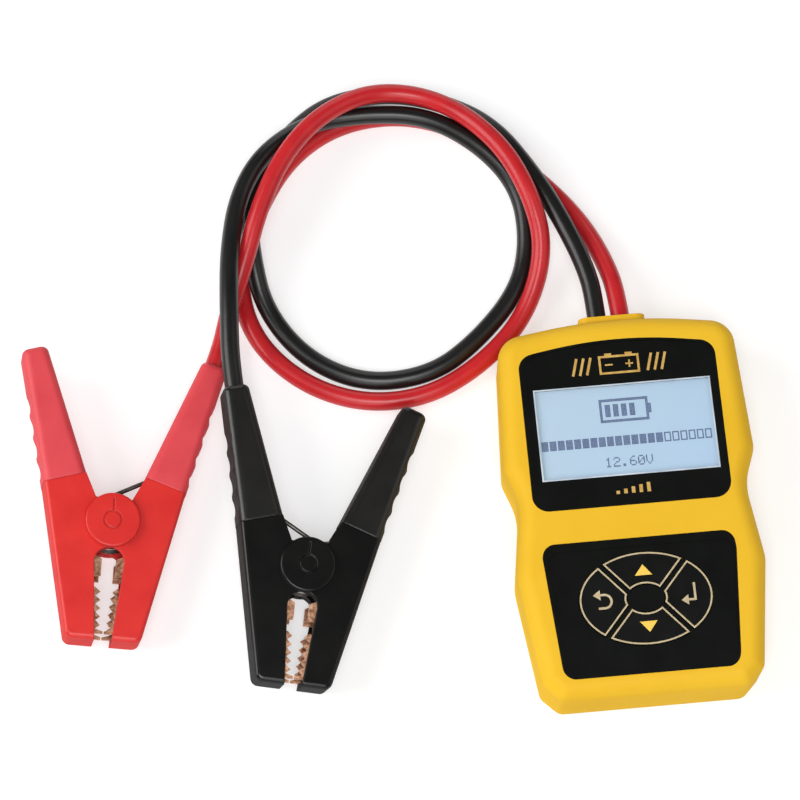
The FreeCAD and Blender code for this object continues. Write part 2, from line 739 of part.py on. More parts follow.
def make_arm(outer_ears):
    """Moulded channel arm on the +X side, from the jaw tip to the core inside its grip."""
    outline = [(arm_middle_gap / 2, tip_y, 0), (tip_out.x, tip_y, arm_tip_radius),
               (arm_shoulder.x, arm_shoulder.y, 0), (arm_armpit.x, arm_armpit.y, 0),
               (vee_foot_x, vee_foot_y, 0), (arm_middle_gap / 2, vee_foot_y, 0)]
    whole = prism(rounded_wire(outline, -arm_half), arm_height)
    rim = []
    for edge in whole.Edges:
        middle = edge.valueAt((edge.FirstParameter + edge.LastParameter) / 2)
        outside = middle.x > outer_edge_x(middle.y) - arm_wall / 4 or middle.y < tip_y + arm_wall / 4
        if outside and edge.BoundBox.ZLength < 1e-6:
            rim.append(edge)
    slot = make_slot()
    far = tip_out + outer_along * (2 * clamp_reach)
    channel_corners = [(-far.x, tip_y, 0), (tip_out.x, tip_y, 0), (far.x, far.y, 0), (-far.x, far.y, 0)]
    channel = prism(rounded_wire(channel_corners, -inner_half, arm_wall), 2 * inner_half)
    shell = whole.makeFillet(arm_edge_round, rim).cut([slot, channel])
    sleeve_gap = grip_wall + grip_fit
    core = handle_taper(-core_root, core_length, sleeve_gap)
    bore = handle_taper(-2 * core_root, core_length + core_root, sleeve_gap + core_wall)
    rib_height = arm_height - arm_cheek
    rib = Part.makeBox(spring_rib_length, spring_rib_thickness, rib_height,
                       V(0, -spring_rib_thickness, -rib_height / 2))
    rib.rotate(V(0, 0, 0), V(0, 0, 1), spring_leg_angle)
    rib.translate(spring_leg_point(spring_rib_start, spring_wire / 2 + spring_rib_gap))
    solid = fused([shell, core.cut(bore), rib])
    if outer_ears:
        ears = [pivot_cylinder(ear_radius, inner_half, arm_half)]
        ears.append(pivot_cylinder(ear_radius, -arm_half, -inner_half))
    else:
        clearing = pivot_cylinder(ear_radius + ear_gap, -arm_half, arm_half)
        solid = solid.cut(clearing)
        boss = whole.cut(slot).common(pivot_cylinder(boss_radius, -arm_half, arm_half))
        boss_top = inner_half + arm_cheek / 2
        ears = [slab(boss.cut(clearing), inner_ear_bottom, boss_top)]
        ears.append(slab(boss.cut(clearing), -boss_top, -inner_ear_bottom))
        for bottom, top in ((inner_ear_bottom, inner_ear_top), (-inner_ear_top, -inner_ear_bottom)):
            ears.append(slab(boss, bottom, top))
            ears.append(pivot_cylinder(ear_radius, bottom, top))
    return fused([solid] + ears).cut(pivot_cylinder(pin_radius + pin_gap, -arm_half, arm_half))


def make_jaw():
    """Stamped copper channel with two toothed flanges, seated inside the +X arm."""
    end_y = tip_y + arm_wall + jaw_gap
    seat = arm_wall + jaw_seat_gap
    corners = [(jaw_tab_x, -jaw_tab_reach), (jaw_tab_x, -jaw_tab_reach - jaw_tab_length),
               (jaw_notch_x, -jaw_tab_reach - jaw_tab_length)]
    teeth_start = -jaw_tab_reach - jaw_tab_length - jaw_notch_length
    corners.append((jaw_notch_x, teeth_start))
    for tooth in range(jaw_teeth):
        crest = jaw_crest_x - tooth * jaw_crest_step
        top = teeth_start - tooth * jaw_tooth_pitch
        corners.append((crest + jaw_tooth_depth, top))
        corners.append((crest, top - jaw_tooth_pitch / 2))
    last_crest = jaw_crest_x - jaw_teeth * jaw_crest_step
    corners.append((last_crest + jaw_tooth_depth, teeth_start - jaw_teeth * jaw_tooth_pitch))
    corners.append((jaw_lip_x, end_y + jaw_lip_length))
    corners.append((jaw_lip_x, end_y))
    corners.append((outer_edge_x(end_y, seat), end_y))
    corners.append((outer_edge_x(-jaw_back_reach, seat), -jaw_back_reach))
    corners.append((jaw_back_x, -jaw_back_reach))
    half = inner_half - jaw_gap
    blank = prism(Part.makePolygon([V(x, y, -half) for x, y in corners + corners[:1]]), 2 * half)
    inside = [(-clamp_reach, tip_y, 0), (outer_edge_x(tip_y, seat + jaw_thickness), tip_y, 0),
              (outer_edge_x(0, seat + jaw_thickness), 0, 0), (-clamp_reach, 0, 0)]
    return blank.cut(prism(rounded_wire(inside, jaw_thickness - half), 2 * (half - jaw_thickness)))


def biarc(start, start_way, end, end_way):
    """Two arcs that leave one point along its direction and reach another along its own."""
    chord = end - start
    ways = start_way + end_way
    turn = 2 * (1 - start_way.dot(end_way))
    reach = (sqrt(chord.dot(ways) ** 2 + turn * chord.dot(chord)) - chord.dot(ways)) / turn
    first = start + start_way * reach
    last = end - end_way * reach
    joint = (first + last) * 0.5
    arcs = []
    for begin, corner, finish in ((start, first, joint), (joint, last, end)):
        middle = (begin + finish) * 0.5
        half_turn = acos((corner - begin).normalize().dot((finish - begin).normalize()))
        middle = middle + (corner - middle) * (tan(half_turn / 2) / tan(half_turn))
        arcs.append(Part.Arc(begin, middle, finish).toShape())
    return arcs


def make_spring():
    """Torsion spring whose legs press on the ribs of both arms."""
    first_angle = 90 + spring_leg_angle
    sweep = 360 * spring_turns + 360 - 2 * spring_leg_angle
    places = []
    for step in range(spring_stations + 1):
        share = step / spring_stations
        angle = radians(first_angle + sweep * share)
        rise = spring_rise / (radians(sweep) * spring_radius)
        if step in (0, spring_stations):
            rise = 0
        way = V(-sin(angle), cos(angle), -rise).normalize()
        place = V(spring_radius * cos(angle), spring_radius * sin(angle), spring_rise * (0.5 - share))
        places.append((place, way))
    edges = []
    start, start_way = places[0]
    edges.append(Part.LineSegment(start - start_way * spring_leg_length, start).toShape())
    for before, after in zip(places, places[1:]):
        edges += biarc(before[0], before[1], after[0], after[1])
    end, end_way = places[-1]
    edges.append(Part.LineSegment(end, end + end_way * spring_leg_length).toShape())
    path = Part.Wire(edges)
    points = path.discretize(Distance=spring_wire / 4)
    stride = path.Length / (len(points) - 1)
    skip = ceil(pi * spring_radius / stride)
    apart = min((one - other).Length for index, one in enumerate(points) for other in points[index + skip:])
    print("spring least gap to itself", round(apart - spring_wire, 2))
    ring = Part.Wire(Part.makeCircle(spring_wire / 2, start - start_way * spring_leg_length, start_way))
    return path.makePipeShell([ring], True, False)


def make_disc(top):
    """Pivot cap with a ring groove and a radial mark, on the upper or lower side."""
    bottom = arm_half + disc_gap
    disc = pivot_cylinder(disc_radius, bottom, bottom + disc_thickness)
    disc = rounded_rim(disc, bottom + disc_thickness, disc_round)
    floor = bottom + disc_thickness - disc_mark_depth
    groove = pivot_cylinder(disc_ring_radius, floor, floor + disc_thickness)
    groove = groove.cut(pivot_cylinder(disc_ring_radius - disc_mark_width, floor, floor + disc_thickness))
    mark_foot = V(-disc_mark_width / 2, disc_ring_radius - disc_mark_width / 2, floor)
    mark = Part.makeBox(disc_mark_width, disc_mark_length, disc_thickness, mark_foot)
    socket = pivot_cylinder(pin_radius + pin_gap, 0, bottom + disc_thickness / 2)
    disc = disc.cut([groove, mark, socket])
    if not top:
        disc.rotate(V(0, 0, 0), V(0, 1, 0), 180)
    return disc


def make_clamp_core():
    """Bare conductor from the end of the lead to the back of the jaw."""
    core_radius = core_diameter / 2
    depth = arm_wall + jaw_seat_gap + jaw_thickness + jaw_gap
    points = [handle_point(grip_lead_inner), handle_point(grip_lead_inner / 2), handle_point(0, core_radius / 2),
              V(outer_edge_x(-core_bend_reach, depth + core_diameter), -core_bend_reach, 0),
              V(outer_edge_x(-core_end_reach, depth) - core_radius - jaw_gap, -core_end_reach, 0)]
    return tube(points, core_diameter, "clamp core")


def flipped(shape):
    """The same piece on the -X side."""
    return shape.mirror(V(0, 0, 0), V(1, 0, 0))


pin_half = arm_half + disc_gap + disc_thickness / 2
clamp_parts = {
    "cable_arm": make_arm(True),
    "free_arm": flipped(make_arm(False)),
    "cable_grip": make_grip(True),
    "free_grip": flipped(make_grip(False)),
    "cable_jaw": make_jaw(),
    "free_jaw": flipped(make_jaw()),
    "pivot_pin": pivot_cylinder(pin_radius, -pin_half, pin_half),
    "pivot_discs": grouped([make_disc(True), make_disc(False)]),
    "spring": make_spring(),
    "lead_core": make_clamp_core(),
}
exit_face = V(0, upper_end + collar_length, 0)


def clamp_place(pivot, turn, pitch, roll):
    """Placement of a clamp from its pivot, seen from the collar, and its three angles."""
    rotation = FreeCAD.Rotation(V(0, 0, 1), turn).multiply(FreeCAD.Rotation(V(1, 0, 0), pitch))
    rotation = rotation.multiply(FreeCAD.Rotation(V(0, 1, 0), roll))
    return FreeCAD.Placement(exit_face + pivot, rotation)


red_place = clamp_place(red_pivot, red_turn, red_pitch, red_roll)
black_place = clamp_place(black_pivot, black_turn, black_pitch, black_roll)
for colour, place in (("red", red_place), ("black", black_place)):
    print(colour, "hinge at", place.Base, "axis", place.Rotation.multVec(V(0, 0, 1)))


def lead_points(x, route, place, side):
    """Whole route of a lead: straight out of the collar, along the floor and into its clamp."""
    start = [V(x, down(lead_inner_drop), parting_height), exit_face + V(x, lead_straight, parting_height)]
    middle = [exit_face + V(*point) for point in route]
    into = []
    for along in (grip_length + grip_lead_straight, grip_lead_inner):
        point = handle_point(along)
        into.append(place.multVec(V(side * point.x, point.y, point.z)))
    return start + middle + into


red_points = lead_points(lead_x[1], red_route, red_place, 1)
black_points = lead_points(lead_x[0], black_route, black_place, -1)
red_lead = tube(red_points, lead_diameter, "red lead")
black_lead = tube(black_points, lead_diameter, "black lead")

os.makedirs("parts", exist_ok=True)
export("front_cover", front)
export("rear_cover", rear)
export("cable_strap", strap)
export("cable_strap_screws", grouped(strap_screws))
export("case_screws", grouped(case_screws))
export("board_screws", grouped(board_screws))
export("display_panel", display_panel)
export("display_window", display_window)
export("keypad_panel", keypad_panel)
for name, key in zip(("key_up", "key_enter", "key_down", "key_escape"), keys):
    export(name, key)
export("key_switches", grouped(switches))
export("lcd_glass", glass)
export("lcd_backlight", backlight)
export("lcd_bezel", bezel)
export("lcd_pin_row", pin_row)
export("circuit_board", board)
export("load_resistors", grouped(resistors))
export("power_transistors", grouped(transistors))
export("capacitors", grouped(capacitors))
export("board_chips", grouped(chips))
export("inner_lead_cores", grouped(inner_cores))
export("red_lead", red_lead)
export("black_lead", black_lead)
for colour, place, mirrored in (("red", red_place, False), ("black", black_place, True)):
    for name, shape in clamp_parts.items():
        piece = flipped(shape) if mirrored else shape.copy()
        piece.Placement = place.multiply(piece.Placement)
        export(colour + "_" + name, piece)
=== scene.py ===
import json
from math import cos, radians, sin
import bmesh
import bpy
from mathutils import Matrix, Vector
from mathutils.bvhtree import BVHTree
from mathutils.geometry import convex_hull_2d


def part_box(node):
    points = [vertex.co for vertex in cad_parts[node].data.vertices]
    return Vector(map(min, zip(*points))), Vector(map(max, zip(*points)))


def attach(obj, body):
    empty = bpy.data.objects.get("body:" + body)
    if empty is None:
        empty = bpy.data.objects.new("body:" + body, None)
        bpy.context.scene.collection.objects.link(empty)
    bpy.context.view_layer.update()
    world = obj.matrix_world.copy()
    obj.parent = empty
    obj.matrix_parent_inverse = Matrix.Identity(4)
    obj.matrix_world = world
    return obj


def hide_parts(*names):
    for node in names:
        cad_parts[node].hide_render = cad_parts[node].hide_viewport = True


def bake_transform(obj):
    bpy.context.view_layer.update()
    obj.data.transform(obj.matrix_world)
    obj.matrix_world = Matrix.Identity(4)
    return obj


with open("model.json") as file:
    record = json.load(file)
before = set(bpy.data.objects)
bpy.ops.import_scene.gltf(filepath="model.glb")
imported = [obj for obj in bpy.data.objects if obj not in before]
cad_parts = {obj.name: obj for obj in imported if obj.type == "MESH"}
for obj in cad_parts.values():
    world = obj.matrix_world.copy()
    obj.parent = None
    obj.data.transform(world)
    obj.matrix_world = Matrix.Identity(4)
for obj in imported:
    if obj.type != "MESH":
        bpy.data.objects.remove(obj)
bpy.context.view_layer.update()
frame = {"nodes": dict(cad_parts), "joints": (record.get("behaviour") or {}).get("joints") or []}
nodes = frame["nodes"]
mm = 0.001

# Circuit board and the parts on it: a green glass-fibre laminate with cement load resistors,
# power transistors, can capacitors, chips and tact switches soldered to it.
# It is screwed to posts inside the front cover.


def linear(hex_colour):
    """Linear colour of an sRGB hex value."""
    values = [int(hex_colour[place:place + 2], 16) / 255 for place in (1, 3, 5)]
    return tuple(v / 12.92 if v <= 0.04045 else ((v + 0.055) / 1.055) ** 2.4 for v in values) + (1.0,)


def add(tree, kind, inputs=None, **settings):
    """A node with its settings, its values and its links."""
    made = tree.nodes.new(kind)
    for name, value in settings.items():
        setattr(made, name, value)
    for name, value in (inputs or {}).items():
        if isinstance(value, bpy.types.NodeSocket):
            tree.links.new(value, made.inputs[name])
        else:
            made.inputs[name].default_value = value
    return made


# The grain of each finish is drawn coarser than the real one, so that it shows in the render.
gloss_spread = 0.1
grain_strength = 0.25
tone_stops = (0.3, 0.7)


def finish(name, dark, light, drift, roughness, grit, depth, metallic=0.0, edge=0.0):
    """A finish that drifts between two tones and two glosses, over a fine grain and softened edges."""
    material = bpy.data.materials.new(name)
    material.use_nodes = True
    tree = material.node_tree
    shader = tree.nodes["Principled BSDF"]
    shader.inputs["Metallic"].default_value = metallic
    place = add(tree, "ShaderNodeTexCoord").outputs["Object"]
    noise = add(tree, "ShaderNodeTexNoise", {"Vector": place, "Scale": 1 / drift, "Detail": 3.0})
    cloud = noise.outputs["Fac"]
    tone = add(tree, "ShaderNodeValToRGB", {"Fac": cloud})
    for stop, share, colour in zip(tone.color_ramp.elements, tone_stops, (dark, light)):
        stop.position = share
        stop.color = linear(colour)
    gloss = add(tree, "ShaderNodeMapRange", {"Value": cloud, "To Min": roughness * (1 - gloss_spread),
                                             "To Max": roughness * (1 + gloss_spread)})
    grain = add(tree, "ShaderNodeTexNoise", {"Vector": place, "Scale": 1 / grit, "Detail": 2.0})
    bump = add(tree, "ShaderNodeBump", {"Height": grain.outputs["Fac"], "Strength": grain_strength,
                                        "Distance": depth})
    if edge:
        softened = add(tree, "ShaderNodeBevel", {"Radius": edge}, samples=6)
        tree.links.new(softened.outputs["Normal"], bump.inputs["Normal"])
    tree.links.new(tone.outputs["Color"], shader.inputs["Base Color"])
    tree.links.new(gloss.outputs["Result"], shader.inputs["Roughness"])
    tree.links.new(bump.outputs["Normal"], shader.inputs["Normal"])
    return material


def dress(material, *names):
    """Give CAD pieces a finish."""
    for name in names:
        nodes[name].data.materials.clear()
        nodes[name].data.materials.append(material)


# Solder-masked laminate: deep green with faint copper traces below the mask.
mask_dark = "#0E4A24"
mask_light = "#125530"
trace_spacing = 14 * mm
laminate = finish("solder_masked_laminate", mask_dark, mask_light, trace_spacing, 0.35, 0.6 * mm, 0.03 * mm)
tree = laminate.node_tree
traces = add(tree, "ShaderNodeTexBrick", {"Vector": tree.nodes["Texture Coordinate"].outputs["Object"],
                                          "Scale": 1 / trace_spacing, "Mortar Size": 0.03,
                                          "Color1": linear(mask_dark), "Color2": linear(mask_light),
                                          "Mortar": linear("#1E7040")})
tree.links.new(traces.outputs["Color"], tree.nodes["Principled BSDF"].inputs["Base Color"])
dress(laminate, "circuit_board")

# Moulded epoxy and nylon: dull black with a fine grain.
epoxy = finish("moulded_epoxy_black", "#141414", "#1E1E1E", 4 * mm, 0.55, 0.3 * mm, 0.03 * mm)
dress(epoxy, "board_chips", "power_transistors", "key_switches", "lcd_pin_row", "cable_strap")

# Cement resistor bodies: chalky off-white with a sandy grain.
cement = finish("cast_cement_white", "#D2CFC4", "#E6E3D8", 3 * mm, 0.85, 0.4 * mm, 0.1 * mm)
dress(cement, "load_resistors")

# Drawn aluminium cans: bright metal with fine draw lines along the can.
aluminium = finish("drawn_aluminium", "#A9ABAE", "#C9CBCD", 2 * mm, 0.3, 0.3 * mm, 0.01 * mm, 1.0)
tree = aluminium.node_tree
draw_lines = add(tree, "ShaderNodeMapping", {"Vector": tree.nodes["Texture Coordinate"].outputs["Object"],
                                             "Scale": (1.0, 1.0, 0.03)})
for noise in [node for node in tree.nodes if node.type == "TEX_NOISE"]:
    tree.links.new(draw_lines.outputs["Vector"], noise.inputs["Vector"])
dress(aluminium, "capacitors")

# Zinc-plated steel of the screws, bezel and pins: grey metal with a slightly cloudy plate.
zinc = finish("zinc_plated_steel", "#8C8E90", "#B9BABC", 2 * mm, 0.32, 0.2 * mm, 0.01 * mm, 1.0)
dress(zinc, "case_screws", "board_screws", "cable_strap_screws", "lcd_bezel", "red_pivot_pin",
      "black_pivot_pin")

# Stranded copper of the lead cores: warm metal, darker where it has tarnished.
copper = finish("stranded_copper", "#A8714F", "#D9A283", 3 * mm, 0.34, 0.5 * mm, 0.03 * mm, 1.0)
dress(copper, "inner_lead_cores", "red_lead_core", "black_lead_core")

# Display module: a light guide of milky acrylic behind a pale blue liquid crystal glass.
# The glass carries the dots, and the window in the panel covers it.
# Milky acrylic: white and cloudy, with a soft sheen.
acrylic = finish("milky_acrylic", "#E4E8EC", "#F2F4F6", 12 * mm, 0.5, 0.5 * mm, 0.01 * mm)
dress(acrylic, "lcd_backlight")

# Back-lit crystal glass: pale blue and even, a little greener towards its upper left corner.
window_low, window_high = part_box("display_window")
crystal = finish("backlit_crystal_glass", "#A9C0D6", "#AEC5DA", 20 * mm, 0.3, 0.4 * mm, 0.005 * mm)
tree = crystal.node_tree
shader = tree.nodes["Principled BSDF"]
slope = add(tree, "ShaderNodeMapping", {"Vector": tree.nodes["Texture Coordinate"].outputs["Object"],
                                        "Location": (0.5, 0.1, 0.0), "Scale": (9.0, -9.0, 0.0),
                                        "Rotation": (0.0, 0.0, radians(-25))})
wash = add(tree, "ShaderNodeTexGradient", {"Vector": slope.outputs["Vector"]}, gradient_type="LINEAR")
tone = add(tree, "ShaderNodeValToRGB", {"Fac": wash.outputs["Fac"]})
tone.color_ramp.elements[0].color = linear("#A9BFCF")
tone.color_ramp.elements[1].color = linear("#9DBBD6")
tree.links.new(tone.outputs["Color"], shader.inputs["Base Color"])
tree.links.new(tone.outputs["Color"], shader.inputs["Emission Color"])
shader.inputs["Emission Strength"].default_value = 0.12
dress(crystal, "lcd_glass")

# Dots of the display, dark blue on the pale glass: a battery sign, a level bar and a plain voltage reading.
# Each dot is a small square on a grid of 128 by 64, just above the glass.
dot_columns = 128
dot_rows = 64
dot_share = 0.92
digits = {
    "0": ("01110", "10001", "10011", "10101", "11001", "10001", "01110"),
    "1": ("00100", "01100", "00100", "00100", "00100", "00100", "01110"),
    "2": ("01110", "10001", "00001", "00110", "01000", "10000", "11111"),
    "6": ("00110", "01000", "10000", "11110", "10001", "10001", "01110"),
    ".": ("00000", "00000", "00000", "00000", "00000", "01100", "01100"),
    "V": ("10001", "10001", "10001", "10001", "10001", "01010", "00100"),
}
cell_columns = 6
battery_left, battery_top = 46, 9
battery_columns, battery_rows = 36, 17
level_left, level_top = 1, 36
level_blocks, level_full = 21, 15
reading_left, reading_top = 46, 51
lit = set()
for column in range(battery_columns):
    for row in range(battery_rows):
        rim = column < 2 or column >= battery_columns - 2 or row < 2 or row >= battery_rows - 2
        charge = 4 <= column < 28 and 4 <= row < 13 and (column - 4) % cell_columns < 4
        if rim or charge:
            lit.add((battery_left + column, battery_top + row))
for column in range(battery_columns, battery_columns + 2):
    for row in range(5, 12):
        lit.add((battery_left + column, battery_top + row))
for block in range(level_blocks):
    for column in range(5):
        for row in range(7):
            rim = column in (0, 4) or row in (0, 6)
            if rim or block < level_full:
                lit.add((level_left + block * cell_columns + column, level_top + row))
for index, sign in enumerate("12.60V"):
    for row, line in enumerate(digits[sign]):
        for column, bit in enumerate(line):
            if bit == "1":
                lit.add((reading_left + index * cell_columns + column, reading_top + row))
weld = 0.001 * mm


def sheet_of(name, faces, material, body):
    """A thin piece of flat polygons, joined where they share corners, that rides on a body."""
    form = bmesh.new()
    for face in faces:
        form.faces.new([form.verts.new(point) for point in face])
    bmesh.ops.remove_doubles(form, verts=form.verts, dist=weld)
    mesh = bpy.data.meshes.new(name)
    form.to_mesh(mesh)
    form.free()
    mesh.materials.append(material)
    piece = bpy.data.objects.new(name, mesh)
    bpy.context.collection.objects.link(piece)
    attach(piece, body)


pitch_x = (window_high.x - window_low.x) / dot_columns
pitch_y = (window_high.y - window_low.y) / dot_rows
layer_lift = 0.02 * mm
dot_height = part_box("lcd_glass")[1].z + layer_lift
squares = []
for column, row in sorted(lit):
    left = window_low.x + (column + (1 - dot_share) / 2) * pitch_x
    top = window_high.y - (row + (1 - dot_share) / 2) * pitch_y
    right = left + pitch_x * dot_share
    bottom = top - pitch_y * dot_share
    squares.append([(left, bottom, dot_height), (right, bottom, dot_height), (right, top, dot_height),
                    (left, top, dot_height)])
# Twisted crystal: blue-grey and soft, a little uneven from dot to dot.
twisted = finish("darkened_crystal", "#3A4D78", "#4A5E8A", 1.5 * mm, 0.4, 0.4 * mm, 0.005 * mm)
sheet_of("display_dots", squares, twisted, "tester")

# Housing: two covers moulded in yellow ABS, joined by screws from the back.
# Satin, with a fine spark-eroded grain, and a collar where the leads come out.
abs_yellow = finish("moulded_abs_yellow", "#E1B12A", "#E6B72F", 30 * mm, 0.45, 0.5 * mm, 0.04 * mm,
                    edge=0.4 * mm)
shader = abs_yellow.node_tree.nodes["Principled BSDF"]
shader.inputs["Specular IOR Level"].default_value = 0.08
shader.inputs["Subsurface Weight"].default_value = 0.06
shader.inputs["Subsurface Radius"].default_value = (1.6 * mm, 0.9 * mm, 0.2 * mm)
dress(abs_yellow, "front_cover", "rear_cover")
matt_roughness = 0.85
side_facing = 0.25
flat_facing = 0.75


def matt_sides(material):
    """Upright sides come matt from the mould, so they mirror less than the flats."""
    tree = material.node_tree
    roughness = tree.nodes["Principled BSDF"].inputs["Roughness"]
    normal = tree.nodes["Texture Coordinate"].outputs["Normal"]
    facing = add(tree, "ShaderNodeSeparateXYZ", {"Vector": normal})
    matt = add(tree, "ShaderNodeMapRange", {"Value": facing.outputs["Z"],
                                            "From Min": side_facing, "From Max": flat_facing,
                                            "To Min": matt_roughness,
                                            "To Max": roughness.links[0].from_socket})
    tree.links.new(matt.outputs["Result"], roughness)


matt_sides(abs_yellow)

# Display panel and keypad panel: polyester film, back-printed in black and glued into recesses.
# Smooth and nearly black, with a soft sheen.
film_black = finish("printed_polyester_film", "#080A08", "#0C0E0C", 8 * mm, 0.2, 0.4 * mm, 0.01 * mm)
dress(film_black, "display_panel", "keypad_panel")

# Borders of the panels: the black film laps over the edge of each recess onto the cover.
# Each border is the panel's own outline drawn a little larger, lying on the cover's front.
flat_depth = 0.01 * mm
film_lift = 0.05 * mm
film_lap = 0.6 * mm
recess_gap = 0.2 * mm
border_step = 1.5 * mm
front_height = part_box("front_cover")[1].z
cover_mesh = nodes["front_cover"].data
cover_skin = BVHTree.FromPolygons([vert.co for vert in cover_mesh.vertices],
                                  [tuple(face.vertices) for face in cover_mesh.polygons])


def lay_border(name, left, right, foot, top):
    """Film round a panel, from inside its edge to its outline grown by these widths."""
    panel_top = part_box(name)[1].z
    skin = nodes[name].data.vertices
    spots = [vert.co.to_2d() for vert in skin if vert.co.z > panel_top - flat_depth]
    corners = [spots[index] for index in convex_hull_2d(spots)]
    outline = []
    for here, there in zip(corners, corners[1:] + corners[:1]):
        steps = 1 + int((there - here).length / border_step)
        outline += [here.lerp(there, step / steps) for step in range(steps)]
    low = Vector((min(spot.x for spot in outline), min(spot.y for spot in outline)))
    high = Vector((max(spot.x for spot in outline), max(spot.y for spot in outline)))
    rings = []
    for west, east, south, north in ((-film_lap,) * 4, (recess_gap,) * 4, (left, right, foot, top)):
        ring = []
        for spot in outline:
            x = low.x - west + (spot.x - low.x) * (1 + (west + east) / (high.x - low.x))
            y = low.y - south + (spot.y - low.y) * (1 + (south + north) / (high.y - low.y))
            ring.append(Vector((x, y, front_height + film_lift)))
        rings.append(ring)
    for spot in rings[-1]:
        above = spot + Vector((0, 0, 1 * mm))
        spot.z = film_lift + cover_skin.ray_cast(above, Vector((0, 0, -1)))[0].z
    faces = []
    for inner, outer in zip(rings, rings[1:]):
        for index in range(len(outline)):
            faces.append([inner[index - 1], outer[index - 1], outer[index], inner[index]])
    sheet_of(name + "_border", faces, film_black, "tester")


lay_border("display_panel", 1.3 * mm, 0.1 * mm, 0.7 * mm, 0.0)
lay_border("keypad_panel", 1.0 * mm, 0.1 * mm, 1.0 * mm, 2.1 * mm)

# Display window: clear hard-coated sheet let into the panel.
# It takes almost no colour and shows only a reflection.
clear_sheet = finish("hard_coated_acrylic", "#EAF1F8", "#F4F8FC", 20 * mm, 0.05, 0.5 * mm, 0.002 * mm)
clear_sheet.node_tree.nodes["Principled BSDF"].inputs["Alpha"].default_value = 0.03
dress(clear_sheet, "display_window")

# Edge of the window: a painted highlight, a thin pale line where light catches the cut edge of the sheet.
# It is a flat ring on the film round the window.


def stroke(points, width, height, closed=False):
    """Line of a given width along a row of points, mitred at its corners."""
    spots = [Vector(point) for point in points]
    ways = [(after - before).normalized() for before, after in zip(spots, spots[1:] + spots[:1])]
    if not closed:
        ways[-1] = ways[-2]
    rows = []
    for index, spot in enumerate(spots):
        before = ways[index - 1] if closed or index > 0 else ways[0]
        middle = (before + ways[index]).normalized()
        side = Vector((-middle.y, middle.x)) * (width / 2 / middle.dot(before))
        rows.append((spot - side, spot + side))
    faces = []
    for (right, left), (next_right, next_left) in zip(rows, rows[1:] + (rows[:1] if closed else [])):
        faces.append([(point.x, point.y, height) for point in (right, next_right, next_left, left)])
    return faces


def oblong(x, y, half_width, half_length):
    """Corners of an oblong about a middle."""
    return [(x - half_width, y - half_length), (x + half_width, y - half_length),
            (x + half_width, y + half_length), (x - half_width, y + half_length)]


film_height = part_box("display_panel")[1].z
rim_width = 0.45 * mm
window_middle = (window_low + window_high) / 2
rim_line = oblong(window_middle.x, window_middle.y, (window_high.x - window_low.x + rim_width) / 2,
                  (window_high.y - window_low.y + rim_width) / 2)
# Painted highlight of the cut acrylic edge: a pale blue-white line of light.
edge_highlight = finish("painted_window_edge_highlight", "#AEBAC8", "#D2DBE4", 5 * mm, 0.4, 0.4 * mm, 0.01 * mm)
sheet_of("window_edge_highlight", stroke(rim_line, rim_width, film_height + layer_lift, True), edge_highlight, "tester")

# Marks on the display panel, printed in gold: a battery sign with its poles between slanted bars,
# and a small rising scale below the window. They are thin layers of ink on the film.
ink_lift = 0.03 * mm
ink_height = film_height + ink_lift
panel_low, panel_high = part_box("display_panel")
sign_y = (window_high.y + panel_high.y) / 2 - 0.6 * mm
sign_half_width = 6 * mm
sign_half_length = 2.7 * mm
sign_line = 0.7 * mm
pole_out = 3.2 * mm
pole_rise = 3.4 * mm
pole_reach = 1.1 * mm
charge_reach = 1.2 * mm
charge_line = 0.5 * mm
bar_out = 9.5 * mm
bar_spacing = 2.2 * mm
bar_reach = 2.8 * mm
bar_slant = 0.8 * mm
bar_line = 0.8 * mm
gold_faces = stroke(oblong(0, sign_y, sign_half_width, sign_half_length), sign_line, ink_height, True)
for side in (-1, 1):
    pole_x = side * pole_out
    pole_y = sign_y + pole_rise
    gold_faces += stroke([(pole_x - pole_reach, pole_y), (pole_x + pole_reach, pole_y)], sign_line, ink_height)
    gold_faces += stroke([(pole_x - charge_reach, sign_y), (pole_x + charge_reach, sign_y)], charge_line,
                         ink_height)
    for step in range(3):
        bar_x = side * (bar_out + bar_spacing * step)
        bar_start = (bar_x - bar_slant, sign_y - bar_reach)
        bar_end = (bar_x + bar_slant, sign_y + bar_reach)
        gold_faces += stroke([bar_start, bar_end], bar_line, ink_height)
for end in (-1, 1):
    plus_start = (pole_out, sign_y + end * charge_line / 2)
    plus_end = (pole_out, sign_y + end * charge_reach)
    gold_faces += stroke([plus_start, plus_end], charge_line, ink_height)
scale_spacing = 2.4 * mm
scale_line = 1.1 * mm
scale_lowest = 1.0 * mm
scale_rise = 0.5 * mm
scale_foot = (panel_low.y + window_low.y) / 2 - 1.6 * mm
for step in range(5):
    bar_x = (step - 2) * scale_spacing
    bar_top = scale_foot + scale_lowest + step * scale_rise
    gold_faces += stroke([(bar_x, scale_foot), (bar_x, bar_top)], scale_line, ink_height)
# Screen-printed bronze ink: a warm metallic tone, slightly grainy.
gold_ink = finish("screen_printed_gold_ink", "#C79A4B", "#E3BC6C", 1.2 * mm, 0.4, 0.3 * mm, 0.01 * mm, 0.25)
sheet_of("panel_marks", gold_faces, gold_ink, "tester")

# Keys: four ring sectors moulded in black, standing just proud of the keypad film.
# A pale gold line runs round each, with an arrow or a sign printed in its middle.
# Moulded ABS: nearly black, with a soft shine.
key_black = finish("moulded_abs_black", "#080A08", "#0D0F0D", 6 * mm, 0.24, 0.4 * mm, 0.015 * mm)
dress(key_black, "key_up", "key_enter", "key_down", "key_escape")
# Screen-printed pale ink: beige and dull.
pale_ink = finish("screen_printed_pale_ink", "#B3A07C", "#C9B894", 1.2 * mm, 0.45, 0.3 * mm, 0.01 * mm)


